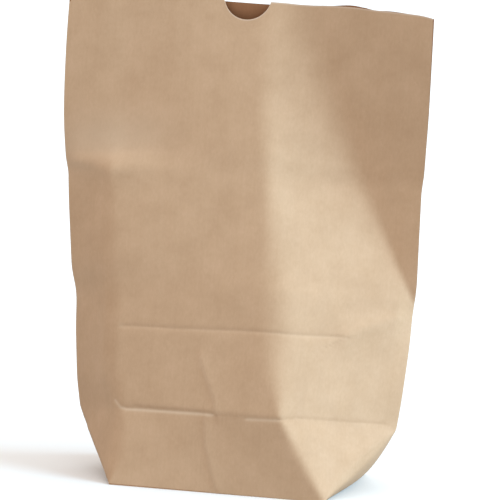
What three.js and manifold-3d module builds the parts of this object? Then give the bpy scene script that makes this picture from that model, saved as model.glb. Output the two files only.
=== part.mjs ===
// A brown kraft lunch bag, standing open on its folded cross bottom.
// The bag is one sheet: a flat tube with a glued back seam, whose lower end is
// folded into a rectangular bottom. It has no side gussets, so each side has one
// crease, which ends in a tip just above the base.
// Millimetres, +Z up, front towards -Y. The origin is the middle of the underside.

import * as THREE from 'three';
import { mergeVertices } from 'three/addons/utils/BufferGeometryUtils.js';
import Module from 'manifold-3d';

// Driving sizes
const FLAT_WIDTH = 190;          // width of the tube lying flat
const WALL_HEIGHT = 245;         // from the base edge up to the mouth, along the paper
const BASE_DEPTH = 80;           // front to back, across the bottom
const PAPER = 0.12;              // thickness of the sheet
const SEAM_WIDTH = 16;           // glued overlap down the back
const FLAP_OVERLAP = 12;         // how far the two long bottom flaps cover each other
const BACK_SHORTFALL = 8;        // the back's edge is cut this much lower than the front's
const THUMB_WIDTH = 24.5;        // chord of the half-round thumb cut in the front
const THUMB_DEPTH = 8;
const THUMB_OFFSET = -2;         // its middle, measured round the paper from the front's middle
const IMPRINT_DEPTH = 0.3;       // dent left by the folded bottom's edge
const IMPRINT_WIDTH = 1.6;

// Worked out from them
const HALF_WIDTH = FLAT_WIDTH / 2;
const HALF_DEPTH = BASE_DEPTH / 2;
const BASE_WIDTH = FLAT_WIDTH - BASE_DEPTH;
const HALF_BASE = BASE_WIDTH / 2;
const FOLD_HEIGHT = HALF_DEPTH;  // the fold across the front, where the bottom lay flat
const IMPRINT_HEIGHT = BASE_DEPTH;
const FLOOR_UNDERSIDE = 2 * PAPER;  // the two long flaps lie below the floor's own ply

// The knees, where the spread of the base ends and each side lies flat
const LEFT_KNEE = 168;
const RIGHT_KNEE = 103;

// How each stretch of the front is turned about the upright, in degrees, at heights
// along the paper. Zero faces straight ahead, minus faces left and plus faces right.
const LEFT_FLANK_TURN = [
  [FOLD_HEIGHT, -50], [IMPRINT_HEIGHT, -42], [LEFT_KNEE - 38, -35], [LEFT_KNEE - 10, -28],
  [LEFT_KNEE + 8, -14], [WALL_HEIGHT, -10],
];
const FRONT_TURN = [
  [FOLD_HEIGHT, -7.5], [IMPRINT_HEIGHT, -3.5], [RIGHT_KNEE, -1], [LEFT_KNEE, 3], [WALL_HEIGHT, 2.5],
];
const RIGHT_FACET_TURN = [
  [FOLD_HEIGHT, 38], [IMPRINT_HEIGHT, 30], [RIGHT_KNEE + 27, 25], [LEFT_KNEE, 18], [WALL_HEIGHT, 8],
];
const RIGHT_WING_TURN = [[RIGHT_KNEE, -3], [LEFT_KNEE, -6], [WALL_HEIGHT, -5.5]];
// The whole ring's turn, and how far it sways off the middle of the base
const RING_TURN = [[FOLD_HEIGHT, 0], [RIGHT_KNEE, 3], [LEFT_KNEE, 2], [WALL_HEIGHT, -2.5]];
const SWAY_X = [[FOLD_HEIGHT, 0], [LEFT_KNEE, -3], [WALL_HEIGHT, -3]];
const SWAY_Y = [[FOLD_HEIGHT, 0], [RIGHT_KNEE, 5], [LEFT_KNEE, 7], [WALL_HEIGHT, 9]];

// The upright bends drift round the paper as they climb, and grow softer
const LEFT_BEND_DRIFT = [[0, 0], [FOLD_HEIGHT, -1], [RIGHT_KNEE, -5], [LEFT_KNEE, -11]];
const RIGHT_BEND_DRIFT = [[0, 0], [FOLD_HEIGHT, -24], [IMPRINT_HEIGHT, -35], [LEFT_KNEE, -46]];
const BACK_BEND_DRIFT = [[FOLD_HEIGHT, 0], [RIGHT_KNEE, 6], [WALL_HEIGHT, 32]];
// How far past the right bend the wing's diagonal crease meets the mouth
const DIAGONAL_REACH = 6;
const BEND_SOFTNESS = [[FOLD_HEIGHT, 1], [IMPRINT_HEIGHT, 5], [RIGHT_KNEE, 8], [WALL_HEIGHT, 10]];
const BEND_STEPS = 4;
const ROW_GAP = 16;              // the most between two rows of points

const PAPER_COLOUR = 0xc1a383;
const PAPER_ROUGHNESS = 0.85;

const MERGE_DISTANCE = 1e-4;
const THUMB_STEPS = 40;
const CUTTER_REACH = 60;         // well past the paper on the outside

// Value at a height of a profile given as [height, value] pairs
function along(profile, height) {
  let [lowHeight, lowValue] = profile[0];
  if (height <= lowHeight) return lowValue;
  for (const [nextHeight, nextValue] of profile) {
    if (height <= nextHeight) {
      const share = (height - lowHeight) / (nextHeight - lowHeight || 1);
      return THREE.MathUtils.lerp(lowValue, nextValue, share);
    }
    [lowHeight, lowValue] = [nextHeight, nextValue];
  }
  return lowValue;
}

function step(start, length, degrees) {
  const turn = THREE.MathUtils.degToRad(degrees);
  return new THREE.Vector2(Math.cos(turn), Math.sin(turn)).multiplyScalar(length).add(start);
}

// Where the bends lie at a height, measured round the paper from the middle of the
// front, or of the back
function bendPlaces(height) {
  const climb = THREE.MathUtils.clamp((height - RIGHT_KNEE) / (WALL_HEIGHT - RIGHT_KNEE), 0, 1);
  const back = HALF_BASE - along(BACK_BEND_DRIFT, height);
  const frontRight = HALF_BASE + along(RIGHT_BEND_DRIFT, height);
  return {
    frontLeft: -HALF_BASE + along(LEFT_BEND_DRIFT, height),
    frontRight,
    knee: THREE.MathUtils.lerp(HALF_WIDTH, frontRight + DIAGONAL_REACH, climb),
    backLeft: -back,
    backRight: back,
  };
}

// The corners of one level ring in plan. Every stretch of paper keeps its length, so
// the ring is always twice the flat width. The back is a plain tray of the same length
// between the two side creases.
function ringPlan(height) {
  const place = bendPlaces(height);
  const left = new THREE.Vector2();
  const frontLeft = step(left, HALF_WIDTH + place.frontLeft, along(LEFT_FLANK_TURN, height));
  const frontRight = step(frontLeft, place.frontRight - place.frontLeft, along(FRONT_TURN, height));
  const knee = step(frontRight, place.knee - place.frontRight, along(RIGHT_FACET_TURN, height));
  const right = step(knee, HALF_WIDTH - place.knee, along(RIGHT_WING_TURN, height));

  const chordTurn = THREE.MathUtils.radToDeg(right.angle());
  const tray = place.backRight - place.backLeft;
  const spread = THREE.MathUtils.clamp((right.length() - tray) / (FLAT_WIDTH - tray), -1, 1);
  const flare = THREE.MathUtils.radToDeg(Math.acos(spread));
  const backLeft = step(left, HALF_WIDTH + place.backLeft, chordTurn + flare);
  const backRight = step(backLeft, tray, chordTurn);

  const middle = right.clone().multiplyScalar(0.5);
  const centre = new THREE.Vector2(along(SWAY_X, height), along(SWAY_Y, height));
  const turn = THREE.MathUtils.degToRad(along(RING_TURN, height)) - right.angle();
  const plan = { left, frontLeft, frontRight, knee, right, backRight, backLeft };
  const origin = new THREE.Vector2();
  for (const corner of Object.values(plan)) corner.sub(middle).rotateAround(origin, turn).add(centre);
  return plan;
}

// Height reached by a strip of paper of a known length that moves sideways as it climbs
function rise(length, sideways) {
  return Math.sqrt(Math.max(length * length - sideways * sideways, 0));
}

// The rings from the fold up to the mouth, as corners in space
function wallRings() {
  const heights = rowHeights();
  const rings = [];
  for (const height of heights) {
    const plan = ringPlan(height);
    const place = bendPlaces(height);
    const below = rings.at(-1);
    const corners = {};
    for (const [name, spot] of Object.entries(plan)) {
      if (name === 'knee') continue;
      const base = below ? below.corners[name] : baseCorner(name);
      const cut = height === heights.at(-1) && name.startsWith('back') ? BACK_SHORTFALL : 0;
      const climb = height - cut - (below ? below.height : 0);
      const start = below ? below.place[name] : baseSide(name) * HALF_BASE;
      const drift = name in place ? place[name] - start : 0;
      const sideways = Math.hypot(spot.x - base.x, spot.y - base.y);
      corners[name] = new THREE.Vector3(spot.x, spot.y, base.z + rise(Math.hypot(climb, drift), sideways));
    }
    const share = (place.knee - place.frontRight) / (HALF_WIDTH - place.frontRight);
    const kneeRise = THREE.MathUtils.lerp(corners.frontRight.z, corners.right.z, share);
    corners.knee = new THREE.Vector3(plan.knee.x, plan.knee.y, kneeRise);
    rings.push({ height, corners, place });
  }
  return rings;
}

function rowHeights() {
  const half = IMPRINT_WIDTH / 2;
  const keys = [FOLD_HEIGHT, IMPRINT_HEIGHT - half, IMPRINT_HEIGHT, IMPRINT_HEIGHT + half,
    RIGHT_KNEE, LEFT_KNEE, WALL_HEIGHT];
  keys.sort((a, b) => a - b);
  const heights = [keys[0]];
  for (let k = 1; k < keys.length; k += 1) {
    const rows = Math.ceil((keys[k] - keys[k - 1]) / ROW_GAP);
    for (let row = 1; row <= rows; row += 1) {
      heights.push(THREE.MathUtils.lerp(keys[k - 1], keys[k], row / rows));
    }
  }
  return heights;
}

function baseSide(name) {
  return name.toLowerCase().includes('left') ? -1 : 1;
}

// Where each corner's column of paper starts, on the rectangle of the base. The side
// creases and the knee start at the middle of the short sides.
function baseCorner(name) {
  const depth = { front: -HALF_DEPTH, back: HALF_DEPTH }[name.replace(/Left|Right/, '')] ?? 0;
  return new THREE.Vector3(baseSide(name) * HALF_BASE, depth, FLOOR_UNDERSIDE);
}

// A ring's points, with each bend rounded between its two neighbours
function ringPoints(corners, softness) {
  const order = ['left', 'frontLeft', 'frontRight', 'knee', 'right', 'backRight', 'backLeft'];
  const points = [];
  order.forEach((name, index) => {
    const corner = corners[name];
    if (name === 'left' || name === 'right') {
      points.push(corner.clone());
      return;
    }
    const before = corners[order.at(index - 1)];
    const after = corners[order[(index + 1) % order.length]];
    const reach = Math.min(softness, 0.45 * corner.distanceTo(before), 0.45 * corner.distanceTo(after));
    const start = corner.clone().add(before.clone().sub(corner).setLength(reach));
    const end = corner.clone().add(after.clone().sub(corner).setLength(reach));
    const bend = new THREE.QuadraticBezierCurve3(reach ? start : corner, corner, reach ? end : corner);
    points.push(...bend.getPoints(BEND_STEPS));
  });
  return points;
}

// The sheet's outer face as rows of points, the base rectangle first
function sheetRows() {
  const rings = wallRings();
  const names = Object.keys(ringPlan(FOLD_HEIGHT));
  const base = Object.fromEntries(names.map((name) => [name, baseCorner(name)]));
  const rows = [ringPoints(base, 0)];
  for (const ring of rings) {
    const points = ringPoints(ring.corners, along(BEND_SOFTNESS, ring.height));
    if (ring.height === IMPRINT_HEIGHT) {
      const frontColumns = 2 * (BEND_STEPS + 1);
      for (let column = 1; column <= frontColumns; column += 1) points[column].y += IMPRINT_DEPTH;
    }
    rows.push(points);
  }
  return rows;
}

// Collects triangles over shared points and leaves out those with no area
class Skin {
  constructor() {
    this.points = [];
    this.lookup = new Map();
    this.triangles = [];
  }

  index(point) {
    const key = point.toArray().map((value) => Math.round(value / MERGE_DISTANCE)).join(' ');
    if (!this.lookup.has(key)) {
      this.lookup.set(key, this.points.length);
      this.points.push(point.clone());
    }
    return this.lookup.get(key);
  }

  triangle(a, b, c) {
    const corners = [a, b, c].map((point) => this.index(point));
    if (new Set(corners).size === 3) this.triangles.push(corners);
  }
}

// The outer face: walls and floor, as one skin that is open at the mouth
function outerSkin(rows) {
  const skin = new Skin();
  const count = rows[0].length;
  const tips = [0, 1 + 3 * (BEND_STEPS + 1)];
  for (let row = 0; row + 1 < rows.length; row += 1) {
    for (let column = 0; column < count; column += 1) {
      const next = (column + 1) % count;
      const [a, b] = [rows[row][column], rows[row][next]];
      const [d, c] = [rows[row + 1][column], rows[row + 1][next]];
      // Below the fold the crease runs from the base corner up to the tip
      const leans = row === 0 && tips.includes(column);
      if (leans) {
        skin.triangle(a, b, d);
        skin.triangle(b, c, d);
      } else {
        skin.triangle(a, b, c);
        skin.triangle(a, c, d);
      }
    }
  }
  const middle = new THREE.Vector3(0, 0, FLOOR_UNDERSIDE);
  for (let column = 0; column < count; column += 1) {
    skin.triangle(middle, rows[0][(column + 1) % count], rows[0][column]);
  }
  return skin;
}

// How far each point moves to lie one paper's thickness inside all the faces that meet
// there: the least-squares answer to (face normal) . move = -thickness.
function inwardMoves(skin) {
  const sums = skin.points.map(() => ({ matrix: new Array(9).fill(0), side: new THREE.Vector3() }));
  for (const triangle of skin.triangles) {
    const [a, b, c] = triangle.map((index) => skin.points[index]);
    const normal = b.clone().sub(a).cross(c.clone().sub(a)).normalize();
    const n = normal.toArray();
    triangle.forEach((index, corner) => {
      const [p, q, r] = [a, b, c].map((_, k) => skin.points[triangle[(corner + k) % 3]]);
      const weight = q.clone().sub(p).angleTo(r.clone().sub(p));
      const sum = sums[index];
      for (let i = 0; i < 9; i += 1) sum.matrix[i] += weight * n[Math.floor(i / 3)] * n[i % 3];
      sum.side.addScaledVector(normal, -weight * PAPER);
    });
  }
  const EASE = 1e-4;
  return sums.map(({ matrix, side }) => {
    const solve = new THREE.Matrix3().fromArray(matrix);
    for (const diagonal of [0, 4, 8]) solve.elements[diagonal] += EASE;
    return side.applyMatrix3(solve.invert());
  });
}

// The closed sheet: the outer face, the inner face and the rim of the mouth
function sheetShell(rows) {
  const outer = outerSkin(rows);
  const moves = inwardMoves(outer);
  const inside = outer.points.map((point, index) => point.clone().add(moves[index]));
  const count = outer.points.length;
  const triangles = [...outer.triangles];
  for (const [a, b, c] of outer.triangles) triangles.push([a + count, c + count, b + count]);
  const rim = rows.at(-1).map((point) => outer.index(point));
  rim.forEach((start, column) => {
    const end = rim[(column + 1) % rim.length];
    if (start === end) return;
    triangles.push([start, end, end + count], [start, end + count, start + count]);
  });
  return { points: [...outer.points, ...inside], triangles };
}

// The overlap of the glued seam: one more ply down the middle of the back
function seamShell(rows) {
  const lastBackRight = 1 + 4 * (BEND_STEPS + 1);
  const outward = new THREE.Vector3(0, 1, 0);
  const points = [];
  for (const row of rows) {
    const [from, to] = [row[lastBackRight], row[lastBackRight + 1]];
    const across = to.clone().sub(from);
    const middle = from.clone().addScaledVector(across, 0.5);
    const half = across.clone().setLength(SEAM_WIDTH / 2);
    const level = new THREE.Vector3(across.y, -across.x, 0).normalize();
    if (level.dot(outward) < 0) level.negate();
    for (const [side, lift] of [[-1, PAPER], [1, PAPER], [1, -PAPER / 2], [-1, -PAPER / 2]]) {
      points.push(middle.clone().addScaledVector(half, side).addScaledVector(level, lift));
    }
  }
  const triangles = [];
  for (let row = 0; row + 1 < rows.length; row += 1) {
    for (let side = 0; side < 4; side += 1) {
      const [a, b] = [4 * row + side, 4 * row + (side + 1) % 4];
      triangles.push([a, b, b + 4], [a, b + 4, a + 4]);
    }
  }
  const top = 4 * (rows.length - 1);
  triangles.push([0, 2, 1], [0, 3, 2], [top, top + 1, top + 2], [top, top + 2, top + 3]);
  return { points, triangles };
}

// A long bottom flap, folded in from the front (-1) or the back (+1). Its ends run in at
// 45 degrees from the corners of the base to its middle line, and straight on from there.
function flapGeometry(side, underside) {
  const hinge = side * (HALF_DEPTH - PAPER);
  const free = (-side * FLAP_OVERLAP) / 2;
  const wide = HALF_BASE - 2 * PAPER;
  const slant = Math.min(HALF_DEPTH - PAPER, 0.8 * wide);
  const narrow = wide - slant;
  const slantEnd = hinge - side * slant;
  const outline = new THREE.Shape([
    new THREE.Vector2(-wide, hinge),
    new THREE.Vector2(wide, hinge),
    new THREE.Vector2(narrow, slantEnd),
    new THREE.Vector2(narrow, free),
    new THREE.Vector2(-narrow, free),
    new THREE.Vector2(-narrow, slantEnd),
  ]);
  const depth = FLOOR_UNDERSIDE + PAPER / 2 - underside;
  const flap = new THREE.ExtrudeGeometry(outline, { depth, bevelEnabled: false, steps: 1 });
  return flap.translate(0, 0, underside);
}

// The half-round cut: a round bar that reaches from outside to between the two plies
function thumbCutter(rows) {
  const mouth = rows.at(-1);
  const frontFrom = mouth[1 + BEND_STEPS];
  const frontTo = mouth[2 + BEND_STEPS];
  const backRow = mouth.slice(1 + 4 * (BEND_STEPS + 1));
  const bend = bendPlaces(WALL_HEIGHT).frontLeft + along(BEND_SOFTNESS, WALL_HEIGHT);
  const run = THUMB_OFFSET - bend;
  const spot = frontFrom.clone().add(frontTo.clone().sub(frontFrom).setLength(run));
  const share = (backRow[0].x - spot.x) / (backRow[0].x - backRow[1].x);
  const behind = THREE.MathUtils.lerp(backRow[0].y, backRow[1].y, share);
  const radius = ((THUMB_WIDTH / 2) ** 2 + THUMB_DEPTH ** 2) / (2 * THUMB_DEPTH);
  const bar = new THREE.CylinderGeometry(radius, radius, CUTTER_REACH, THUMB_STEPS);
  const stop = (spot.y + behind) / 2;
  return bar.translate(spot.x, stop - CUTTER_REACH / 2, spot.z - THUMB_DEPTH + radius);
}

const wasm = await Module();
wasm.setup();

function solidFromTriangles({ points, triangles }) {
  const vertProperties = Float32Array.from(points.flatMap((point) => point.toArray()));
  const triVerts = Uint32Array.from(triangles.flat());
  return new wasm.Manifold(new wasm.Mesh({ numProp: 3, vertProperties, triVerts }));
}

function solidFromGeometry(geometry) {
  const bare = geometry.clone();
  bare.deleteAttribute('normal');
  bare.deleteAttribute('uv');
  const merged = mergeVertices(bare, MERGE_DISTANCE);
  const vertProperties = Float32Array.from(merged.attributes.position.array);
  const triVerts = Uint32Array.from(merged.index.array);
  return new wasm.Manifold(new wasm.Mesh({ numProp: 3, vertProperties, triVerts }));
}

function geometryFromSolid(solid) {
  const mesh = solid.getMesh();
  const geometry = new THREE.BufferGeometry();
  geometry.setAttribute('position', new THREE.BufferAttribute(Float32Array.from(mesh.vertProperties), 3));
  geometry.setIndex(new THREE.BufferAttribute(Uint32Array.from(mesh.triVerts), 1));
  geometry.computeVertexNormals();
  return geometry;
}

function paperBag() {
  const rows = sheetRows();
  const solid = solidFromTriangles(sheetShell(rows))
    .add(solidFromTriangles(seamShell(rows)))
    .add(solidFromGeometry(flapGeometry(1, PAPER)))
    .add(solidFromGeometry(flapGeometry(-1, 0)))
    .subtract(solidFromGeometry(thumbCutter(rows)));
  const kraft = new THREE.MeshStandardMaterial({
    color: PAPER_COLOUR,
    roughness: PAPER_ROUGHNESS,
    metalness: 0,
  });
  const bag = new THREE.Mesh(geometryFromSolid(solid), kraft);
  bag.name = 'paper_bag';
  return bag;
}

const bag = new THREE.Group();
bag.add(paperBag());

export default bag;
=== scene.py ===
"""A brown kraft lunch bag, standing open on its folded cross bottom.

The bag is one sheet of paper. Its shape is worked out as paper takes it: every level
ring round the bag keeps the length of the flat tube, and every upright strip keeps its
own length while it leans. Metres, +Z up, front towards -Y.

Two measures are taken along the paper, in millimetres: u runs round the tube from the
middle of the front, and v runs up the wall from the base's edge.
"""
import math

import bpy
import numpy as np
from mathutils import Matrix, Vector


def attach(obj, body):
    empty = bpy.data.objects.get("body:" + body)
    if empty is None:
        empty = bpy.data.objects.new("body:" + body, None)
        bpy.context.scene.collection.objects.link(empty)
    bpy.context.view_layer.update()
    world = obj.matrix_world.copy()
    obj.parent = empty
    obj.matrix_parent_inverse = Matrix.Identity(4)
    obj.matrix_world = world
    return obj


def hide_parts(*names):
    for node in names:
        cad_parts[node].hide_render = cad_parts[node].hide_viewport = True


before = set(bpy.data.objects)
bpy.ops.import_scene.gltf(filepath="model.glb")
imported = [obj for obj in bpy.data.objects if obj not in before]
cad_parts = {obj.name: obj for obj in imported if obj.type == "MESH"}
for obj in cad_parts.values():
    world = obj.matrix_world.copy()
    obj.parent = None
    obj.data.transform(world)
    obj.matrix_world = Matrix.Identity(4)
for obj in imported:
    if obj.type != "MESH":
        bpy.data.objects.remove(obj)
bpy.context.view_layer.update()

MM = 0.001

# The sheet
FLAT_WIDTH = 190.0              # of the tube laid flat
WALL_HEIGHT = 245.0
BASE_DEPTH = 80.0
PAPER = 0.12                    # thickness
SEAM_WIDTH = 16.0
FLAP_OVERLAP = 12.0             # of the two long flaps under the base
THUMB_WIDTH = 23.6
THUMB_DEPTH = 9.6
THUMB_MIDDLE = -2.7
BACK_SHORTFALL = 4.5            # how much lower the back is cut than the front
SHORTFALL_EASE = 30.0           # over which the two heights meet beside the side creases

HALF_WIDTH = FLAT_WIDTH / 2
HALF_DEPTH = BASE_DEPTH / 2
HALF_BASE = (FLAT_WIDTH - BASE_DEPTH) / 2
AROUND = 2 * FLAT_WIDTH
LEFT_SIDE_AGAIN = AROUND - HALF_WIDTH       # the left side crease, met again from behind
FLOOR_UNDERSIDE = 2 * PAPER
FOLD = HALF_DEPTH               # the fold across the front, where the bottom lay flat
IMPRINT = BASE_DEPTH            # the dent of the folded bottom's edge
LEFT_KNEE = 166.6               # where the left flank's crease leaves the side crease
RIGHT_KNEE = 103.0              # where the long diagonal bend starts at the side crease

# How each stretch of the front is turned about the upright, in degrees, by the height
# along the paper. Zero faces straight ahead, minus faces left and plus faces right.
LEFT_FLANK_TURN = ((FOLD, -48), (IMPRINT, -42), (130, -34), (LEFT_KNEE, -29))
FRONT_TURN = ((FOLD, -7), (IMPRINT, -2.5), (RIGHT_KNEE, -1), (130, -1.5), (LEFT_KNEE, -2.5),
              (200, -2), (WALL_HEIGHT, -0.5))
RIGHT_FACET_TURN = ((FOLD, 38), (60, 36.5), (IMPRINT, 36), (95, 37), (115, 31), (LEFT_KNEE, 28.5),
                    (200, 24), (WALL_HEIGHT, 9))
RIGHT_WING_TURN = ((RIGHT_KNEE, -3), (LEFT_KNEE, -8), (WALL_HEIGHT, -10.5))

# The left flank above its knee
LEFT_TOP_TURN = -3.0            # the flank's turn well above the knee
LEFT_KNEE_JUMP = 7.0            # how far it opens at the crease itself
LEFT_KNEE_CREASE = 2.5          # over this height
LEFT_KNEE_EASE = 16.0           # how soon it gets to its turn at the top
LEFT_KNEE_SLOPE = 0.3           # the knee's crease falls from the side crease inwards
LEFT_KNEE_SPAN = 45.0           # as far in as this

# How far the front beside the left knee draws back for the flank that opens out, so
# that the side crease stays where it is: 1 is all of it. It does so between two places.
LEFT_HOLD = ((LEFT_KNEE - 12, 0.85), (LEFT_KNEE + 2, 0.65), (184, 0.34), (205, 0.18), (WALL_HEIGHT, 0.05))
HOLD_START, HOLD_START_SOFTNESS = -62.0, 5.0
HOLD_END, HOLD_END_SOFTNESS = -22.0, 24.0
HOLD_LIMIT = 0.6                # sine of the most that it turns

# How the whole ring is turned and where it stands
RING_TURN = ((FOLD, 0), (RIGHT_KNEE, 3), (LEFT_KNEE, 2), (WALL_HEIGHT, -2.5))
SWAY_X = ((FOLD, -1.3), (RIGHT_KNEE, -2), (LEFT_KNEE, -4.3), (200, -3.9), (WALL_HEIGHT, -3.0))
# The front leans back evenly: where this column near its middle stands, front to back
LEAN_COLUMN = -20.0
LEAN = ((FOLD, -33.6), (100, -21.4), (LEFT_KNEE, -6.2), (200, 1.6), (WALL_HEIGHT, 11.6))
# Where the middle of the back stands, as far as the length of its paper lets it
BACK_LEAN = ((FOLD, 28.3), (60, 30.2), (95, 30.9), (130, 29.2), (160, 25.2), (200, 19.2),
             (WALL_HEIGHT, 13.6))

# Where the upright bends lie round the paper, by height
LEFT_BEND = ((0, -55), (FOLD, -55), (60, -60), (IMPRINT, -62), (117, -65), (154, -65.5), (WALL_HEIGHT, -67))
RIGHT_BEND = ((0, 55), (FOLD, 32), (50, 31), (60, 29), (76, 27), (92, 25.8), (110, 23), (128, 20),
              (144, 18), (LEFT_KNEE, 14.2), (191, 11.2), (WALL_HEIGHT, 10))
DIAGONAL = ((RIGHT_KNEE, 95), (121, 84.5), (149, 69.5), (172, 56.5), (194, 44.5), (226, 31),
            (WALL_HEIGHT, 23))
# How far to each side each of them is rounded
LEFT_SOFTNESS = ((FOLD, 5), (55, 8), (110, 8), (140, 5), (158, 2.5), (190, 10), (WALL_HEIGHT, 14))
RIGHT_SOFTNESS = ((FOLD, 1.5), (50, 5), (60, 9), (IMPRINT, 12), (105, 12), (125, 8), (LEFT_KNEE, 6),
                  (210, 8), (WALL_HEIGHT, 14))
DIAGONAL_SOFTNESS = ((RIGHT_KNEE, 1.5), (130, 3), (LEFT_KNEE, 7), (200, 11), (WALL_HEIGHT, 15))
BACK_SOFTNESS = ((FOLD, 3), (IMPRINT, 8), (WALL_HEIGHT, 10))

# The back's own two bends
BEND_HEIGHTS = 42               # levels at which their place is worked out
BEND_EVERY = 2                  # one in this many of them is kept
BEND_REACH = 6.5                # height over which their wandering is evened out
BEND_NEAREST, BEND_FURTHEST = 15.0, 60.0    # from the back's middle
LEAST_DEPTH = 1.0               # of the back behind the side creases
LEAST_SPARE = 0.05              # half of what its paper has over the straight way

# How much the mouth's edge stands above a straight cut, round the front and the back
TOP_LIFT = ((-95, 2), (-78, 0.6), (-60, 0), (0, 0), (20, 0.3), (38, 2.1), (60, 3.4), (78, 3.0), (95, 1.8))
BACK_LIFT = ((95, 1.8), (107, 3.0), (125, 4.7), (140, 3.7), (152, 1.8), (190, 0.0), (250, 0.2), (285, 2))
LIFT_GROWTH = 1.5               # the lift grows from the left knee up with this power

# How near the plies come to each other, and how close to the side creases that holds
MOUTH_GAP = 0.8
GAP_SQUARENESS = 30
LEAST_GAP_SHARE = 1e-3          # at the side creases themselves

# Slow waves of handled paper: length round, length up, phase and share of each
WAVES = ((61.0, 173.0, 0.4, 0.42), (-43.0, 97.0, 2.1, 0.34), (29.0, 131.0, 4.4, 0.26),
         (-83.0, 61.0, 5.2, 0.36), (19.0, -71.0, 1.3, 0.16))
WAVINESS = 1.1                  # degrees
BACK_WAVINESS = 0.6             # share of it on the back
FOLD_RISE = 20.0                # height over the fold at which the waves are full

# The mesh
COLUMN = 5.0 / 3.0
ROW = 5.0 / 3.0
WALK_STEPS = 5                  # steps of the walk round a ring for each column
FINE_COLUMNS = ((-16, 9), (-60, -46))       # at the thumb cut and the left end of the fold
FINE_ROWS = ((FOLD - 4, FOLD + 4), (IMPRINT - 4, IMPRINT + 5))
SEAM_CLEAR = 0.5                # other columns keep this far from the seam's edge
THUMB_REACH = 22.0              # how far below the mouth the rows bend round the thumb cut
SHARP_ANGLE = 40.0
TINY = 1e-6
LEAST_PANEL = 1e-3              # half of a bottom side panel's width where it runs out

# How wide the creases of the panels below the fold are rounded, in the order of
# lower_lines, and how that grows from the base and meets the bends above the fold
LOWER_SOFTNESS = (0.5, 3, 8, 3.5, 6, 0.5, 5, 3, 3, 5)
LOWER_EASE = 14.0
LOWER_ROOM = 0.45               # share of the room up to its tip that a crease may take
CORNER_CREASES = (1, 4, 6, 9)
UPRIGHT_BENDS = {2: LEFT_SOFTNESS, 3: RIGHT_SOFTNESS}
TIP_CREASES = ((0, (1,)), (5, (4, 6)), (10, (9,)))      # each tip and the creases it ends

# How the fold is rounded: beside the front, across it and across the back
FOLD_EASE_LEFT, FOLD_EASE_FRONT, FOLD_EASE_BACK = 2.6, 0.9, 2.0
FOLD_EASE_COLUMN = -45.0        # where the first gives way to the second
FOLD_EASE_ROWS = 9.0            # how far above and below the fold it is felt

# Marks of folding on the front. Each is a line of (u, v) points, its depth, how far it
# fades out on its first side (above a level line, right of one that runs down) and on
# its second, and how much paler a band beside it is painted, for broken fibres and a painted highlight. A
# depth below zero is a ridge.
FRONT_MARKS = (
    # the left knee's crease
    (((-95, 166.7), (-79, 161.7), (-66, 157.1)), -1.3, 9.0, 5.0, 0.0),
    # the edge of the folded bottom, pressed into the front
    (((-55, 79.6), (-23, 80.3), (7, 81.5), (40, 82.2), (61, 83.2)), 0.6, 0.8, 1.4, 0.08),
    # the ridge from its end to the right knee
    (((61, 83.2), (68, 87.5), (94, 98)), -2.6, 9.0, 7.0, 0.0),
    # the fold that lifts the bottom's triangle
    (((-50, 38.6), (-11, 39.4), (-4, 39.4)), 0.4, 1.3, 4.0, 0.0),
    (((-50, 38.4), (-11, 39.2), (-4, 39.2)), 0.35, 1.0, 0.9, 0.52),
    (((15, 38.6), (31, 39.4)), 0.4, 0.9, 1.4, 0.35),
    (((31, 39.4), (42, 41.2), (68, 41.7), (89, 42.5)), 0.5, 0.8, 1.4, 0.0),
    (((-56, 42.5), (-53, 39.2), (-50, 38.5)), 0.4, 0.9, 1.0, 0.4),
    # creases down the middle, from handling
    (((-12, 66.7), (-7, 55.7), (-2.4, 46.3), (-1.8, 40)), -0.5, 2.8, 1.0, 0.12),
    (((-7.5, 37.5), (-6.5, 24), (-3, 12), (0, 3)), -0.5, 3.4, 1.1, 0.12),
)
MARK_BLUNTNESS = 0.25
MARK_CLEAR = 9.0                # the marks fade out this near to the side creases
# How far each mark's pale band, for broken fibres and a painted highlight, lies to its second side, and how
# wide it is
WEAR_AND_HIGHLIGHT_OFFSET, WEAR_AND_HIGHLIGHT_WIDTH = 0.5, 0.85
# A painted highlight: the paper is painted paler just above the left knee
KNEE_HIGHLIGHT_U, KNEE_HIGHLIGHT_V = -72.0, 174.0
KNEE_HIGHLIGHT_REACH_U, KNEE_HIGHLIGHT_REACH_V = 30.0, 13.0
KNEE_HIGHLIGHT_SHARE = 0.32

PILLOW = 3.0                    # how far the side panels swell out at the bottom
PILLOW_LOWNESS = 0.7            # below 1 puts the fullest place lower
SEAM_STEP = 0.2                 # how far the outer ply stands up at the seam
SEAM_EDGE, SEAM_FADE = 0.4, 3.0     # widths of its free edge and of the inner ply's

# The paper's grain. Each has its scale per metre of paper, its stretch (below 1 draws it
# out along the paper's height), its detail and its fineness.
CLOUD_GRAIN = (60.0, 1.0, 4.0, 0.6)
FIBRE_GRAIN = (900.0, 0.45, 5.0, 0.7)
LINE_GRAIN = (500.0, 0.02, 2.0, 0.5)
SHEEN_GRAIN = (130.0, 0.5, 5.0, 0.65)
BUMP_GRAIN = (700.0, 0.5, 5.0, 0.7)
# Where in a pattern the change from its low colour to its high one starts and ends
SOFT_CHANGE, CRISP_CHANGE, PLY_CHANGE = (0.3, 0.7), (0.35, 0.65), (0.4, 0.6)

# The paper's colours, in sRGB from 0 to 255, and its finish
WHITE = (255, 255, 255)
CLOUD_DARK, CLOUD_PALE = (202, 163, 128), (212, 173, 138)
FIBRE_DARK = (249, 247, 244)
LINE_DARK = (253, 252, 251)
# Paler along the folds for broken fibres and a painted highlight, and a painted highlight above the left knee
WEAR_AND_HIGHLIGHT_COLOUR = (236, 208, 178)
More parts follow.
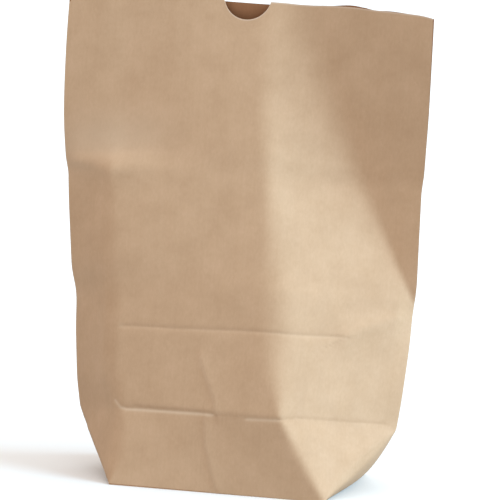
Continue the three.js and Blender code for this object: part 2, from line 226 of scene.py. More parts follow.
# A painted highlight along the cut edge of the mouth, on its outer face
RIM_HIGHLIGHT_COLOUR = (226, 196, 170)    # the cut edge of the mouth
RIM_START, RIM_FULL = 0.9, 0.2  # how far from the edge it starts to show and shows in full
RIM_SHARE = 0.7
INSIDE_TINT = (0.60, 0.42, 0.31, 1)         # the light lost between the plies
SMOOTH_PATCH, OPEN_PATCH = 0.64, 0.80       # roughness
WORN_ROUGHNESS = 0.18           # what broken fibres add to it
PAPER_SPECULAR = 0.35
BUMP_STRENGTH, BUMP_DISTANCE = 0.25, 0.0001

# The studio
AMBIENT = 0.645
TOP_LIGHT = 0.8                 # how much brighter the sky is overhead than level
KEY_STRENGTH = 4.29
KEY_COLOUR = (0.50, 0.782, 1.0)
KEY_SOFTNESS = 40.0
KEY_BEARING = 85.0              # to the right of straight ahead
KEY_HEIGHT = 22.0
FLOOR_SIZE = 4.0
FLOOR_ROUGHNESS = 0.9
FLOOR_TONE = (0.93, 0.902, 0.876, 1)        # as the camera sees it
FLOOR_BOUNCE = (0.45, 0.45, 0.45, 1)        # the light that it throws back on the bag

CAMERA_TARGET = (0.0, 0.0, 0.120)
CAMERA_DISTANCE = 2.5
CAMERA_BEARING = 15.45          # to the right of straight ahead
CAMERA_HEIGHT = 8.58
CAMERA_ROLL = 1.67
CAMERA_REACH = 20.0
FRAME_PIXELS = 500
PIXELS_PER_METRE = 2019.0
TARGET_PIXEL = (244.7, 241.05)
SENSOR = 36.0


def along(profile, height):
    """Value of a profile at a height, smooth through its points and without overshoot."""
    places = np.array([place for place, _ in profile], float)
    values = np.array([value for _, value in profile], float)
    height = np.clip(height, places[0], places[-1])
    if len(places) == 2:
        return np.interp(height, places, values)
    gaps = np.diff(places)
    slopes = np.diff(values) / gaps
    tangents = np.zeros(len(places))
    for k in range(1, len(places) - 1):
        before, after = slopes[k - 1], slopes[k]
        if before * after > 0:
            w1, w2 = 2 * gaps[k] + gaps[k - 1], gaps[k] + 2 * gaps[k - 1]
            tangents[k] = (w1 + w2) / (w1 / before + w2 / after)
    tangents[0], tangents[-1] = slopes[0], slopes[-1]
    k = np.clip(np.searchsorted(places, height, side="right") - 1, 0, len(gaps) - 1)
    t = (height - places[k]) / gaps[k]
    return ((1 + 2 * t) * (1 - t) ** 2 * values[k] + t * (1 - t) ** 2 * gaps[k] * tangents[k]
            + t * t * (3 - 2 * t) * values[k + 1] + t * t * (t - 1) * gaps[k] * tangents[k + 1])


def swing(u, bend, softness):
    """Share of a bend that lies behind each place round the paper, 0 before and 1 after."""
    t = np.clip((u - bend) / (2 * softness) + 0.5, 0, 1)
    return t * t * (3 - 2 * t)


def ramp(past, softness):
    """Nothing before a crease and the distance past it after, rounded at the crease."""
    if softness < TINY:
        return np.maximum(past, 0)
    t = np.clip(past + softness, 0, 2 * softness)
    return t * t / (4 * softness) + np.maximum(past - softness, 0)


def risen(height):
    """How free the paper is of the fold at a height, from 0 to 1."""
    return np.clip((height - FOLD) / FOLD_RISE, 0, 1)


def wander(u, height):
    """Slow waves in the way the paper faces, in degrees, that start above the fold."""
    waves = np.zeros_like(u)
    for length_u, length_v, phase, share in WAVES:
        waves += share * np.sin(2 * math.pi * (u / length_u + height / length_v) + phase)
    return WAVINESS * waves * risen(height)


def flank_turn(u, height):
    """Turn of the left flank. Above the knee's slanting crease it opens out flat."""
    crease = LEFT_KNEE - LEFT_KNEE_SLOPE * np.clip(u + HALF_WIDTH, 0, LEFT_KNEE_SPAN)
    past = height - crease
    at_knee = LEFT_FLANK_TURN[-1][1]
    below = along(LEFT_FLANK_TURN, height + (LEFT_KNEE - crease))
    opened = LEFT_KNEE_JUMP * np.clip(past / LEFT_KNEE_CREASE, 0, 1)
    left = np.exp(-np.clip(past, 0, None) / LEFT_KNEE_EASE)
    above = LEFT_TOP_TURN + (at_knee + opened - LEFT_TOP_TURN) * left
    return np.where(past < 0, below, above)


def front_heading(u, height):
    """Which way the front's paper faces at each place of a ring, in degrees."""
    flank = flank_turn(u, height)
    front = along(FRONT_TURN, height)
    facet = along(RIGHT_FACET_TURN, height)
    wing = along(RIGHT_WING_TURN, height)
    heading = flank + (front - flank) * swing(u, along(LEFT_BEND, height), along(LEFT_SOFTNESS, height))
    heading = heading + (facet - front) * swing(u, along(RIGHT_BEND, height), along(RIGHT_SOFTNESS, height))
    if height > RIGHT_KNEE:
        past = swing(u, along(DIAGONAL, height), along(DIAGONAL_SOFTNESS, height))
        heading = heading + (wing - facet) * past
    # Where the flank opens out, the front beside it draws back
    shut = np.minimum(flank, along(LEFT_FLANK_TURN, height))
    opened = np.sin(np.radians(flank)) - np.sin(np.radians(shut))
    held = swing(u, HOLD_START, HOLD_START_SOFTNESS) * (1 - swing(u, HOLD_END, HOLD_END_SOFTNESS))
    share = along(LEFT_HOLD, height) * opened[u < HOLD_START].sum() / held.sum()
    heading = heading - held * math.degrees(math.asin(min(share, HOLD_LIMIT)))
    return heading + wander(u, height)


def walk(headings, step):
    """Points of a walk of equal steps that follows the headings, from the origin."""
    turns = np.radians(headings)
    steps = step * np.column_stack([np.cos(turns), np.sin(turns)])
    return np.vstack([[0, 0], np.cumsum(steps, axis=0)])


def front_walk(height, step):
    """The front of a ring from side crease to side crease: the places walked through, the
    points about the middle of the chord, the chord as walked, and the turn applied."""
    places = np.arange(-HALF_WIDTH, HALF_WIDTH + step / 2, step)
    front = walk(front_heading(places[:-1] + step / 2, height), step)
    chord = front[-1].copy()
    turn = math.radians(along(RING_TURN, height)) - math.atan2(chord[1], chord[0])
    c, s = math.cos(turn), math.sin(turn)
    turned = np.array([[c, s], [-s, c]])
    return places, (front - chord / 2) @ turned, chord, turned


def back_bend(height):
    """How far from the back's middle its bends lie, for it to stand as far back as it does."""
    places, front, chord, _ = front_walk(height, COLUMN)
    side_creases = along(LEAN, height) - np.interp(LEAN_COLUMN, places, front[:, 1])
    half = np.hypot(*chord) / 2
    depth = max(along(BACK_LEAN, height) - side_creases, LEAST_DEPTH)
    spare = max(HALF_WIDTH - half, LEAST_SPARE)
    bend = (HALF_WIDTH + half - depth ** 2 / spare) / 2
    return float(np.clip(bend, BEND_NEAREST, BEND_FURTHEST))


def back_bends():
    """The same for the whole height, as a smooth profile that starts at the base's corners."""
    heights = np.linspace(FOLD, WALL_HEIGHT, BEND_HEIGHTS)
    bends = np.array([back_bend(height) for height in heights])
    profile = []
    for height in heights[::BEND_EVERY]:
        near = np.exp(-0.5 * ((heights - height) / BEND_REACH) ** 2)
        smooth = (near * bends).sum() / near.sum()
        profile.append((height, HALF_BASE + (smooth - HALF_BASE) * risen(height)))
    return profile + [(WALL_HEIGHT, profile[-1][1])]


def ring_plan(height, columns, bends):
    """Level ring in plan at a height: x and y of every column of paper."""
    step = COLUMN / WALK_STEPS
    places, front, chord, turned = front_walk(height, step)
    middles = places[:-1] + step / 2
    at_lean_column = np.interp(LEAN_COLUMN, places, front[:, 1])
    centre = (along(SWAY_X, height), along(LEAN, height) - at_lean_column)

    # The back is a flat middle between two bends, and its sides make up the length
    bend = along(bends, height)
    tray = 2 * bend
    spread = (np.hypot(*chord) - tray) / (FLAT_WIDTH - tray)
    flare = math.degrees(math.acos(np.clip(spread, -1, 1)))
    soft = along(BACK_SOFTNESS, height)
    chord_turn = math.degrees(math.atan2(chord[1], chord[0]))
    heading = chord_turn + flare * (1 - swing(middles, -bend, soft) - swing(middles, bend, soft))
    back = walk(heading + BACK_WAVINESS * wander(middles + FLAT_WIDTH, height), step)
    back += np.linspace(0, 1, len(back))[:, None] * (chord - back[-1])
    back = (back - chord / 2) @ turned

    # It stays behind the front
    clear = 1 - (places / HALF_WIDTH) ** GAP_SQUARENESS + LEAST_GAP_SHARE
    gap = (back[:, 1] - front[:, 1] - MOUTH_GAP * clear) / (MOUTH_GAP * clear)
    back[:, 1] = front[:, 1] + MOUTH_GAP * clear * (np.logaddexp(0, gap) + clear / (1 + clear))

    ring = np.zeros((len(columns), 2))
    for axis in range(2):
        on_front = np.interp(columns, places, front[:, axis] + centre[axis])
        on_back = np.interp(FLAT_WIDTH - columns, places, back[:, axis] + centre[axis])
        ring[:, axis] = np.where(columns <= HALF_WIDTH, on_front, on_back)
    return ring


def paper_columns():
    """Where the mesh's columns lie round the paper."""
    coarse = np.arange(0, round(AROUND / COLUMN)) * COLUMN - HALF_WIDTH
    fine = [coarse[(coarse > start) & (coarse < end)] + COLUMN / 2 for start, end in FINE_COLUMNS]
    seam = FLAT_WIDTH - SEAM_WIDTH / 2
    coarse = coarse[np.abs(coarse - seam - SEAM_EDGE / 2) > SEAM_CLEAR]
    return np.sort(np.concatenate([coarse, *fine, [seam, seam + SEAM_EDGE]]))


def paper_rows():
    """Where the mesh's rows lie up the wall."""
    coarse = np.arange(0, round(WALL_HEIGHT / ROW) + 1) * ROW
    rows = [coarse]
    for start, end in FINE_ROWS:
        near = coarse[(coarse > start) & (coarse < end)]
        rows += [near + ROW / 3, near + 2 * ROW / 3]
    return np.sort(np.concatenate(rows))


def lower_lines(height):
    """Creases and bends of the panels below the fold: where each lies round the paper
    at a height, and the corner of the base that it starts from."""
    share = height / FOLD
    left = -HALF_BASE + share * (along(LEFT_BEND, FOLD) + HALF_BASE)
    right = HALF_BASE + share * (along(RIGHT_BEND, FOLD) - HALF_BASE)
    w, d = HALF_BASE, HALF_DEPTH
    return [
        (-HALF_WIDTH, (-w, 0)), (-w - height, (-w, -d)), (left, (-w, -d)),
        (right, (w, -d)), (w + height, (w, -d)), (HALF_WIDTH, (w, 0)),
        (FLAT_WIDTH - w - height, (w, d)), (FLAT_WIDTH - w, (w, d)),
        (FLAT_WIDTH + w, (-w, d)), (FLAT_WIDTH + w + height, (-w, d)),
        (LEFT_SIDE_AGAIN, (-w, 0)),
    ]


def lower_softness(height, line):
    """How wide one of the lower panels' creases is rounded at a height."""
    softness = LOWER_SOFTNESS[line] * min(1.0, height / LOWER_EASE)
    if line in CORNER_CREASES:
        softness = min(softness, LOWER_ROOM * (HALF_DEPTH - height))
    if line in UPRIGHT_BENDS:
        above = along(UPRIGHT_BENDS[line], FOLD)
        last = np.clip((height - FOLD + LOWER_EASE) / LOWER_EASE, 0, 1)
        softness += last * (above - softness)
    return softness


def lower_row(height, columns, tops):
    """A row below the fold, where every panel is flat between its creases."""
    share = height / FOLD
    knots, places = [], []
    for (u, (x, y)), top in zip(lower_lines(height), tops):
        low = np.array([x, y, FLOOR_UNDERSIDE])
        knots.append(u)
        places.append(low + share * (top - low))
    # Two more lines at each end, so that the creases are whole where the ring closes
    knots, places = np.array(knots), np.array(places)
    knots = np.concatenate([knots[-3:-1] - AROUND, knots, knots[1:3] + AROUND])
    places = np.vstack([places[-3:-1], places, places[1:3]])
    lines = len(LOWER_SOFTNESS)
    gaps = np.maximum(np.diff(knots), 1e-9)
    slopes = np.diff(places, axis=0) / gaps[:, None]
    slopes[np.diff(knots) < TINY] = 0
    out = places[0] + (columns[:, None] - knots[0]) * slopes[0]
    for k in range(1, len(knots) - 1):
        softness = lower_softness(height, (k - 2) % lines)
        out = out + ramp(columns - knots[k], softness)[:, None] * (slopes[k] - slopes[k - 1])
    return out


def fold_tops(ring, columns):
    """Where the lower panels' creases arrive at the fold, in space."""
    tops = []
    wrapped = np.append(columns, LEFT_SIDE_AGAIN)
    ring = np.vstack([ring, ring[:1]])
    for (start, _), (u, (x, y)) in zip(lower_lines(0), lower_lines(FOLD)):
        spot = [np.interp(u, wrapped, ring[:, axis]) for axis in range(2)]
        length = math.hypot(FOLD, u - start)
        sideways = math.hypot(spot[0] - x, spot[1] - y)
        tops.append(np.array([*spot, FLOOR_UNDERSIDE + math.sqrt(length ** 2 - sideways ** 2)]))
    # The creases that meet in a tip share its height
    for tip, sides in TIP_CREASES:
        for side in sides:
            tops[side] = tops[tip].copy()
    return tops


def wall_grid(columns, rows):
    """The sheet's outer face: rows of points from the base edge up to the mouth."""
    grid = np.zeros((len(rows), len(columns), 3))
    bends = back_bends()
    tops = fold_tops(ring_plan(FOLD, columns, bends), columns)
    for r, height in enumerate(rows):
        if height <= FOLD + TINY:
            grid[r] = lower_row(height, columns, tops)
            continue
        plan = ring_plan(height, columns, bends)
        sideways = np.hypot(*(plan - grid[r - 1, :, :2]).T)
        climb = height - rows[r - 1]
        grid[r, :, :2] = plan
        grid[r, :, 2] = grid[r - 1, :, 2] + np.sqrt(np.maximum(climb ** 2 - sideways ** 2, 0))
    grid = ease_fold(columns, rows, grid)
    lift = np.where(columns <= HALF_WIDTH, along(TOP_LIFT, columns), along(BACK_LIFT, columns))
    share = np.clip((rows - LEFT_KNEE) / (WALL_HEIGHT - LEFT_KNEE), 0, 1) ** LIFT_GROWTH
    grid[:, :, 2] += share[:, None] * lift[None, :]
    return grid


def ease_fold(columns, rows, grid):
    """Rounds the fold at the bottom's top edge, more beside the front than across it."""
    out = grid.copy()
    spacing = np.gradient(rows)
    reach = np.where(columns > HALF_WIDTH, FOLD_EASE_BACK, FOLD_EASE_FRONT)
    reach = np.where(columns < FOLD_EASE_COLUMN, FOLD_EASE_LEFT, reach)
    for r in np.nonzero(np.abs(rows - FOLD) < FOLD_EASE_ROWS)[0]:
        weights = np.exp(-0.5 * ((rows[:, None] - rows[r]) / reach[None, :]) ** 2) * spacing[:, None]
        middle = (weights * rows[:, None]).sum(axis=0) / weights.sum(axis=0) - rows[r]
        mean = (weights[:, :, None] * grid).sum(axis=0) / weights.sum(axis=0)[:, None]
        climb = (grid[r + 1] - grid[r - 1]) / (rows[r + 1] - rows[r - 1])
        out[r] = mean - climb * middle[:, None]
    return out


def mouth_cut(columns):
    """How far the mouth's edge is cut below the top of the paper, round the bag."""
    radius = ((THUMB_WIDTH / 2) ** 2 + THUMB_DEPTH ** 2) / (2 * THUMB_DEPTH)
    cut = np.zeros(len(columns))
    across = np.abs(columns - THUMB_MIDDLE)
    inside = across < THUMB_WIDTH / 2
    cut[inside] = THUMB_DEPTH - radius + np.sqrt(radius ** 2 - across[inside] ** 2)
    from_back = np.abs(columns - FLAT_WIDTH)
    return cut + BACK_SHORTFALL * np.clip((HALF_WIDTH - from_back) / SHORTFALL_EASE, 0, 1)


def cut_mouth(columns, rows, grid):
    """Lowers the mouth's edge at the back and round the thumb cut, along the paper."""
    cut = mouth_cut(columns)
    start = WALL_HEIGHT - THUMB_REACH
    out = grid.copy()
    for c in np.nonzero(cut > 0)[0]:
        squeeze = (THUMB_REACH - cut[c]) / THUMB_REACH
        wanted = np.where(rows > start, start + (rows - start) * squeeze, rows)
        for axis in range(3):
            out[:, c, axis] = np.interp(wanted, rows, grid[:, c, axis])
    return out


def off_line(u, v, line):
    """Distance from a line of points, above zero on its first side."""
    best = np.full(np.broadcast(u, v).shape, 1e9)
    side = np.zeros_like(best)
    for (u0, v0), (u1, v1) in zip(line[:-1], line[1:]):
        du, dv = u1 - u0, v1 - v0
        length = math.hypot(du, dv)
        t = np.clip(((u - u0) * du + (v - v0) * dv) / length ** 2, 0, 1)
        off = np.hypot(u - u0 - t * du, v - v0 - t * dv)
        across = (du * (v - v0) - dv * (u - u0)) / length
        nearer = off < best
        best = np.where(nearer, off, best)
        side = np.where(nearer, np.where(across < 0, -off, off), side)
    return side


def add_relief(columns, rows, grid):
    """Marks of folding, the swell of the bottom's side panels and the glued seam."""
    u, v = np.meshgrid(columns, rows)
    relief = np.zeros(u.shape)
    for line, depth, first, second, _ in FRONT_MARKS:
        side = off_line(u, v, line)
        reach = np.where(side > 0, first, second)
        relief -= depth * np.exp(-np.hypot(side, MARK_BLUNTNESS) / reach)
    relief *= np.clip((HALF_WIDTH - np.abs(u)) / MARK_CLEAR, 0, 1)
    for middle in (-HALF_WIDTH, HALF_WIDTH, LEFT_SIDE_AGAIN):
        t = np.abs(u - middle) / np.maximum(HALF_DEPTH - v, LEAST_PANEL)
        fullness = np.sin(np.clip(v / FOLD, 0, 1) ** PILLOW_LOWNESS * math.pi)
        relief += PILLOW * np.clip(1 - t * t, 0, 1) * fullness
    # The outer ply's free edge is a step, and the inner ply's shows through softly
    seam = np.clip((u - (FLAT_WIDTH - SEAM_WIDTH / 2)) / SEAM_EDGE, 0, 1)
    seam *= 1 - np.clip((u - (FLAT_WIDTH + SEAM_WIDTH / 2)) / SEAM_FADE + 0.5, 0, 1)
    relief += SEAM_STEP * seam
    return grid + relief[:, :, None] * grid_normals(grid)


def fold_wear_and_highlight(columns, rows):
    """How much paler the paper is painted along the marks, for broken fibres and a painted highlight, and in
    a painted highlight above the left knee, from none to all.
    """
    u, v = np.meshgrid(columns, rows)
    wear_and_highlight = np.zeros(u.shape)
    for line, _, _, _, pale in FRONT_MARKS:
        wear_and_highlight = np.maximum(wear_and_highlight, pale * np.exp(-((off_line(u, v, line) + WEAR_AND_HIGHLIGHT_OFFSET) / WEAR_AND_HIGHLIGHT_WIDTH) ** 2))
    # A painted highlight just above the left knee
    off = ((u - KNEE_HIGHLIGHT_U) / KNEE_HIGHLIGHT_REACH_U) ** 2 + ((v - KNEE_HIGHLIGHT_V) / KNEE_HIGHLIGHT_REACH_V) ** 2
    return np.maximum(wear_and_highlight, KNEE_HIGHLIGHT_SHARE * np.exp(-off))


def grid_normals(grid):
    """Which way the sheet's outer face looks at each point."""
    across = np.roll(grid, -1, axis=1) - np.roll(grid, 1, axis=1)
    normals = np.cross(across, np.gradient(grid, axis=0))
    length = np.linalg.norm(normals, axis=2, keepdims=True)
    return normals / np.maximum(length, 1e-9)


def point_normals(points, faces):
    """The same for a mesh of triangles, weighted by their areas."""
    normals = np.zeros_like(points)
    corners = np.array(faces)
    first, second, third = (points[corners[:, k]] for k in range(3))
    across = np.cross(second - first, third - first)
    for k in range(3):
        np.add.at(normals, corners[:, k], across)
    return normals / np.linalg.norm(normals, axis=1, keepdims=True)


def wall_faces(columns, rows):
    """Two triangles for each cell, split along the way the crease beside it runs."""
    count = len(columns)
    faces = []
    for r in range(len(rows) - 1):
        below = rows[r] < FOLD - TINY
        for c in range(count):
            a, b = r * count + c, r * count + (c + 1) % count
            d, e = a + count, b + count
            u = columns[c]
            if below:
                falls = u < -HALF_BASE - TINY or HALF_WIDTH - TINY <= u < FLAT_WIDTH - HALF_BASE - TINY
            else:
                falls = 0 < u < HALF_WIDTH
            if falls:
                faces += [(a, b, d), (b, e, d)]
            else:
                faces += [(a, b, e), (a, e, d)]
    return faces


def paper_shell(columns, rows, grid):
    """Both faces of the sheet, the floor's own ply and the cut edge of the mouth."""
    count = len(columns)
    faces = wall_faces(columns, rows)

    # The floor is a fan inside the base's edge
    centre = len(rows) * count
    outer = np.vstack([grid.reshape(-1, 3), [[0, 0, FLOOR_UNDERSIDE]]])
    faces += [(centre, (c + 1) % count, c) for c in range(count)]

    inner = outer - PAPER * point_normals(outer, faces)
    inner[:count, 2] = FLOOR_UNDERSIDE + PAPER
    inner[centre] = (0, 0, FLOOR_UNDERSIDE + PAPER)
    total = len(outer)
    faces += [(a + total, c + total, b + total) for a, b, c in faces]

    top = (len(rows) - 1) * count
    for c in range(count):
        a, b = top + c, top + (c + 1) % count
        faces += [(a, b, b + total), (a, b + total, a + total)]
    return np.vstack([outer, inner]), faces


def bottom_flaps():
    """The two long flaps glued over the bottom, the front one outermost."""
    points, faces = [], []
    for side, underside in ((1, PAPER), (-1, 0.0)):
        hinge = side * (HALF_DEPTH - PAPER)
        free = -side * FLAP_OVERLAP / 2
        wide = HALF_BASE - 2 * PAPER
        slant = HALF_DEPTH - PAPER
        narrow = wide - slant
        outline = [(-wide, hinge), (wide, hinge), (narrow, hinge - side * slant),
                   (narrow, free), (-narrow, free), (-narrow, hinge - side * slant)]
        if side < 0:
            outline = outline[::-1]
        first = len(points)
        count = len(outline)
        points += [(x, y, underside) for x, y in outline]
        points += [(x, y, FLOOR_UNDERSIDE + PAPER / 2) for x, y in outline]
        faces.append(tuple(first + k for k in range(count)))
        faces.append(tuple(first + count + k for k in reversed(range(count))))
        for k in range(count):
            n = (k + 1) % count
            faces.append((first + n, first + k, first + count + k, first + count + n))
    return points, faces


def paper_places(columns, rows):
    """Where each point of one face of the shell lies on the flat paper, and how far it is
    from the cut edge of the mouth."""
    count = len(columns)
    flat = np.column_stack([np.append(np.tile(columns, len(rows)), 0),
                            np.append(np.repeat(rows, count), -HALF_DEPTH)])
    down = (WALL_HEIGHT - rows)[:, None] * np.ones(count)[None, :]
    squeeze = (THUMB_REACH - mouth_cut(columns)) / THUMB_REACH
    down = np.where(down < THUMB_REACH, down * squeeze[None, :], down)
    return flat, np.append(down.ravel(), WALL_HEIGHT)


def add_paper_map(mesh, flat):
    """The flat paper as the mesh's UV map, in metres."""
    loops = np.zeros(len(mesh.loops), dtype=np.int64)
    mesh.loops.foreach_get("vertex_index", loops)
    corner_uv = flat[loops]
    # Triangles that close the ring carry on past its last column
    starts = np.zeros(len(mesh.polygons), dtype=np.int64)
    totals = np.zeros(len(mesh.polygons), dtype=np.int64)
    mesh.polygons.foreach_get("loop_start", starts)
    mesh.polygons.foreach_get("loop_total", totals)
    corners = starts[totals == 3][:, None] + np.arange(3)[None, :]
    spread = np.ptp(corner_uv[corners, 0], axis=1)
    closing = corners[spread > FLAT_WIDTH]
    around = corner_uv[closing, 0]
    corner_uv[closing, 0] = np.where(around < 0, around + AROUND, around)
    uv = mesh.uv_layers.new(name="paper")
    uv.data.foreach_set("uv", (corner_uv * MM).ravel())


def paper_bag():
    """The whole bag as one mesh, with what its paper needs to know at each point."""
    columns, rows = paper_columns(), paper_rows()
    grid = add_relief(columns, rows, cut_mouth(columns, rows, wall_grid(columns, rows)))
    shell, faces = paper_shell(columns, rows, grid)
    flap_points, flap_faces = bottom_flaps()
    faces += [tuple(index + len(shell) for index in face) for face in flap_faces]

    one_face = len(shell) // 2
    flaps = len(flap_points)
    flat, from_edge = paper_places(columns, rows)
    flat = np.vstack([flat, flat, [(x, y - BASE_DEPTH) for x, y, _ in flap_points]])
    wear_and_highlight = np.append(fold_wear_and_highlight(columns, rows).ravel(), 0)
    known = {
        "inside": np.concatenate([np.zeros(one_face), np.ones(one_face), np.zeros(flaps)]),
        "from_edge": np.concatenate([from_edge, from_edge, np.full(flaps, WALL_HEIGHT)]),
        "wear_and_highlight": np.concatenate([wear_and_highlight, np.zeros(one_face + flaps)]),
    }

    mesh = bpy.data.meshes.new("paper_bag_sheet")
    mesh.from_pydata((np.vstack([shell, flap_points]) * MM).tolist(), [], faces)
    add_paper_map(mesh, flat)
    for name, values in known.items():
        mesh.attributes.new(name, "FLOAT", "POINT").data.foreach_set("value", values)
    mesh.polygons.foreach_set("use_smooth", [True] * len(mesh.polygons))
    mesh.set_sharp_from_angle(angle=math.radians(SHARP_ANGLE))
    mesh.validate()
    piece = bpy.data.objects.new("lunch_bag", mesh)
    bpy.context.collection.objects.link(piece)
    return piece


def srgb(colour):
    """Linear colour of an sRGB triple written as 0 to 255."""
    out = []
    for value in colour:
        value /= 255.0
        out.append(value / 12.92 if value <= 0.04045 else ((value + 0.055) / 1.055) ** 2.4)
    return (*out, 1.0)


def add_node(tree, kind, inputs, **settings):
    """A new shader node with its settings, and each of its inputs either set or linked."""
    node = tree.nodes.new(kind)
    for name, value in settings.items():
        setattr(node, name, value)
    for name, value in inputs.items():
        if isinstance(value, bpy.types.NodeSocket):
            tree.links.new(value, node.inputs[name])
        else:
            node.inputs[name].default_value = value
    return node


def kraft_paper():
    """Unbleached machine-made paper: paler along its folds for broken fibres and a painted highlight, with
    painted highlights above the left knee and along the cut edge of the mouth, and painted shade on its inner
    face.
    """
    material = bpy.data.materials.new("kraft_paper")
    material.use_nodes = True
    tree = material.node_tree
    tree.nodes.clear()
    paper = add_node(tree, "ShaderNodeUVMap", {}, uv_map="paper")

    def grain(scale, stretch, detail, fineness):
        place = add_node(tree, "ShaderNodeMapping", {"Vector": paper.outputs["UV"], "Scale": (1, stretch, 1)})
        noise = add_node(tree, "ShaderNodeTexNoise", {
            "Vector": place.outputs["Vector"], "Scale": scale, "Detail": detail, "Roughness": fineness})
        return noise.outputs["Fac"]

    def tint(value, change, low_colour, high_colour):
        node = add_node(tree, "ShaderNodeValToRGB", {"Fac": value})
        for stop, place, colour in zip(node.color_ramp.elements, change, (low_colour, high_colour)):
            stop.position = place
            stop.color = colour
        return node.outputs["Color"]

    def mix(share, first, second, blend="MIX"):
        return add_node(tree, "ShaderNodeMix", {"Factor": share, "A": first, "B": second},
                        data_type="RGBA", blend_type=blend).outputs["Result"]

    def known(name):
        return add_node(tree, "ShaderNodeAttribute", {}, attribute_name=name).outputs["Fac"]

    def maths(operation, *values):
        return add_node(tree, "ShaderNodeMath", dict(enumerate(values)), operation=operation).outputs["Value"]

    cloud = tint(grain(*CLOUD_GRAIN), SOFT_CHANGE, srgb(CLOUD_DARK), srgb(CLOUD_PALE))
    fibre = tint(grain(*FIBRE_GRAIN), CRISP_CHANGE, srgb(FIBRE_DARK), srgb(WHITE))
    line = tint(grain(*LINE_GRAIN), SOFT_CHANGE, srgb(LINE_DARK), srgb(WHITE))
    colour = mix(1.0, mix(1.0, cloud, fibre, "MULTIPLY"), line, "MULTIPLY")

    inside, wear_and_highlight = known("inside"), known("wear_and_highlight")
    colour = mix(1.0, colour, tint(inside, PLY_CHANGE, (1, 1, 1, 1), INSIDE_TINT), "MULTIPLY")
    # Paler along the folds for broken fibres and a painted highlight, and a painted highlight above the left
    # knee
    colour = mix(wear_and_highlight, colour, srgb(WEAR_AND_HIGHLIGHT_COLOUR))
    # A painted highlight along the cut edge of the mouth, on the outer face only
    edge = add_node(tree, "ShaderNodeMapRange", {
        "Value": known("from_edge"), "From Min": RIM_START, "From Max": RIM_FULL, "To Max": RIM_SHARE})
    rim_highlight = maths("MULTIPLY", edge.outputs["Result"], maths("SUBTRACT", 1.0, inside))
    colour = mix(rim_highlight, colour, srgb(RIM_HIGHLIGHT_COLOUR))

    sheen = add_node(tree, "ShaderNodeMapRange", {
        "Value": grain(*SHEEN_GRAIN), "From Min": SOFT_CHANGE[0], "From Max": SOFT_CHANGE[1],
        "To Min": SMOOTH_PATCH, "To Max": OPEN_PATCH})
    roughness = maths("MULTIPLY_ADD", wear_and_highlight, WORN_ROUGHNESS, sheen.outputs["Result"])
    bump = add_node(tree, "ShaderNodeBump", {
        "Height": grain(*BUMP_GRAIN), "Strength": BUMP_STRENGTH, "Distance": BUMP_DISTANCE})
    shader = add_node(tree, "ShaderNodeBsdfPrincipled", {
        "Base Color": colour, "Roughness": roughness, "Specular IOR Level": PAPER_SPECULAR,
        "Normal": bump.outputs["Normal"]})
    add_node(tree, "ShaderNodeOutputMaterial", {"Surface": shader.outputs["BSDF"]})
    return material


def pale_floor():
    """A plain floor, white to the camera and duller to the bag that stands on it."""
    mesh = bpy.data.meshes.new("floor")
    s = FLOOR_SIZE
    mesh.from_pydata([(-s, -s, 0), (s, -s, 0), (s, s, 0), (-s, s, 0)], [], [(0, 1, 2, 3)])
    floor = bpy.data.objects.new("floor", mesh)
    bpy.context.collection.objects.link(floor)
    material = bpy.data.materials.new("pale_floor")
    material.use_nodes = True
    tree = material.node_tree
    shader = tree.nodes["Principled BSDF"]
    shader.inputs["Roughness"].default_value = FLOOR_ROUGHNESS
    shader.inputs["Specular IOR Level"].default_value = 0.0
    path = add_node(tree, "ShaderNodeLightPath", {})
    tone = add_node(tree, "ShaderNodeMix", {
        "Factor": path.outputs["Is Camera Ray"], "A": FLOOR_BOUNCE, "B": FLOOR_TONE}, data_type="RGBA")
    tree.links.new(tone.outputs["Result"], shader.inputs["Base Color"])
    mesh.materials.append(material)


def direction(bearing, height):
    """The way from the bag towards a bearing to the right of ahead and a height, in degrees."""
    bearing, height = math.radians(bearing), math.radians(height)
    level = math.cos(height)
    return Vector((math.sin(bearing) * level, -math.cos(bearing) * level, math.sin(height)))


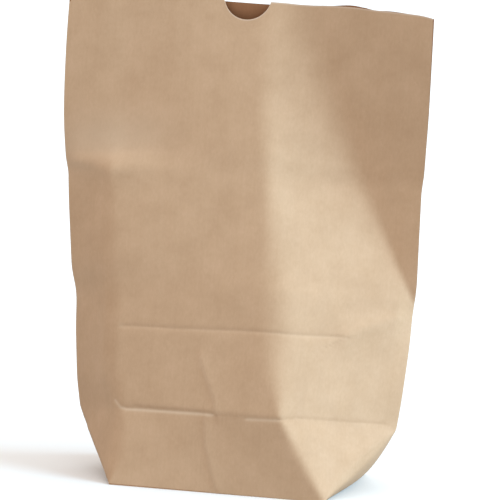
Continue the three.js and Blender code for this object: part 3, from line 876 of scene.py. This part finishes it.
def studio_light():
    """A soft sky, brighter overhead, a white backdrop and a large cool light on the right."""
    world = bpy.data.worlds.new("studio")
    bpy.context.scene.world = world
    world.use_nodes = True
    tree = world.node_tree
    tree.nodes.clear()
    way = add_node(tree, "ShaderNodeTexCoord", {})
    split = add_node(tree, "ShaderNodeSeparateXYZ", {"Vector": way.outputs["Generated"]})
    sky = add_node(tree, "ShaderNodeMapRange", {
        "Value": split.outputs["Z"], "From Min": -1.0,
        "To Min": AMBIENT * (1 - TOP_LIGHT), "To Max": AMBIENT * (1 + TOP_LIGHT)})
    light = add_node(tree, "ShaderNodeBackground", {
        "Color": (1, 1, 1, 1), "Strength": sky.outputs["Result"]})
    backdrop = add_node(tree, "ShaderNodeBackground", {"Color": (1, 1, 1, 1), "Strength": 1.0})
    path = add_node(tree, "ShaderNodeLightPath", {})
    shown = add_node(tree, "ShaderNodeMixShader", {
        0: path.outputs["Is Camera Ray"], 1: light.outputs["Background"], 2: backdrop.outputs["Background"]})
    add_node(tree, "ShaderNodeOutputWorld", {"Surface": shown.outputs["Shader"]})

    sun = bpy.data.lights.new("key", "SUN")
    sun.energy = KEY_STRENGTH
    sun.angle = math.radians(KEY_SOFTNESS)
    sun.color = KEY_COLOUR
    lamp = bpy.data.objects.new("key", sun)
    bpy.context.collection.objects.link(lamp)
    lamp.rotation_euler = direction(KEY_BEARING, KEY_HEIGHT).to_track_quat("Z", "Y").to_euler()


def camera():
    """The photograph's view: a long lens, a little to the right and above, slightly rolled."""
    forward = -direction(CAMERA_BEARING, CAMERA_HEIGHT)
    bearing, roll = math.radians(CAMERA_BEARING), math.radians(CAMERA_ROLL)
    level = Vector((math.cos(bearing), math.sin(bearing), 0))
    right = level * math.cos(roll) + level.cross(forward) * math.sin(roll)
    up = right.cross(forward)
    lens = bpy.data.cameras.new("camera")
    lens.sensor_width = SENSOR
    lens.lens = PIXELS_PER_METRE * CAMERA_DISTANCE / FRAME_PIXELS * SENSOR
    middle = FRAME_PIXELS / 2
    lens.shift_x = (middle - TARGET_PIXEL[0]) / FRAME_PIXELS
    lens.shift_y = (TARGET_PIXEL[1] - middle) / FRAME_PIXELS
    lens.clip_end = CAMERA_REACH
    view = bpy.data.objects.new("camera", lens)
    view.location = Vector(CAMERA_TARGET) - forward * CAMERA_DISTANCE
    view.rotation_euler = Matrix((right, up, -forward)).transposed().to_euler()
    bpy.context.collection.objects.link(view)
    bpy.context.scene.camera = view


camera()
studio_light()
pale_floor()
bag = paper_bag()
bag.data.materials.append(kraft_paper())
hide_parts("paper_bag")
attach(bag, "root")
bpy.context.scene.view_settings.view_transform = "Standard"
